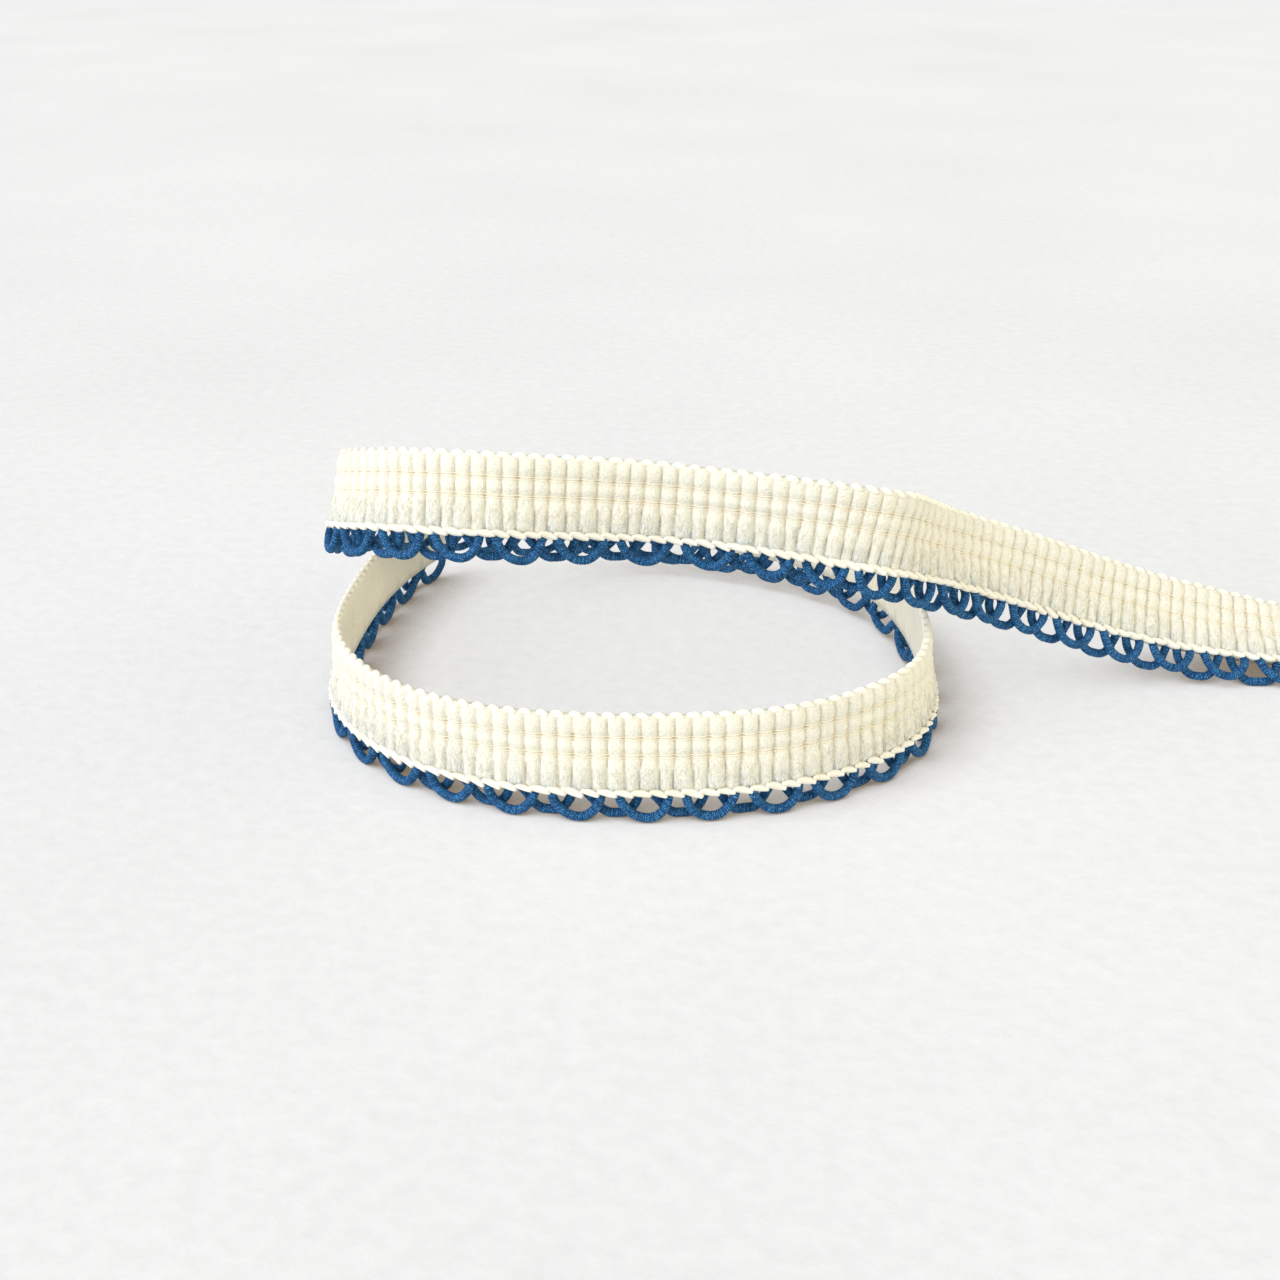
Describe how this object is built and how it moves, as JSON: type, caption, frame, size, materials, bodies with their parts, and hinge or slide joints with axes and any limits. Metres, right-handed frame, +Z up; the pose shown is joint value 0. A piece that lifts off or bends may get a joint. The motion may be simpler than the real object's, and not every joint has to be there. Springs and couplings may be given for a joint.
{
  "type": "piping trim",
  "caption": "Ribbed braid tape with looped gimp cord along its lower edge, laid on edge in a rising coil with a loose tail.",
  "frame": {"origin": "centre of the whole trim's box, on the surface that it stands on", "axes": "+X along the trim's longest reach, towards the loose tail; +Y away from the near side of the coil; +Z up"},
  "size_m": [0.1384, 0.0794, 0.0395],
  "materials": {
    "tape": "matt ribbed cotton",
    "gimp": "soft satin wound rayon"
  },
  "bodies": {
    "root": {"ribbed_tape": "tape", "gimp_front": "gimp", "gimp_back": "gimp"}
  },
  "joints": []
}
